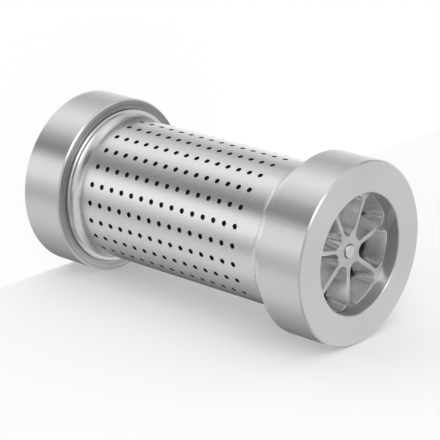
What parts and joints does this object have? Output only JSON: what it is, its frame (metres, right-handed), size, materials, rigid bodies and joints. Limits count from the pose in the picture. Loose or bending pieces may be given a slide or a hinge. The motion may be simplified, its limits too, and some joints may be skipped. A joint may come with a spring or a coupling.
{
  "type": "perforated strainer",
  "caption": "Cylindrical metal strainer: a perforated tube between two heavy turned end rings, with a spoked insert pressed into the front ring.",
  "frame": {"origin": "centre of the rear ring's flat end face, which the part stands on", "axes": "+Z along the tube's axis, from the rear ring to the front ring with the spoked insert"},
  "size_m": [0.06, 0.06, 0.1208],
  "materials": {
    "turned_steel": "satin with fine turning marks",
    "tube_steel": "satin with fine brushing round the tube",
    "insert_steel": "smooth machined metal",
    "pin_steel": "smooth machined metal"
  },
  "bodies": {
    "root": {"rear_ring": "turned_steel", "front_ring": "turned_steel", "perforated_tube": "tube_steel", "spoked_insert": "insert_steel", "centre_pin": "pin_steel"}
  },
  "joints": []
}
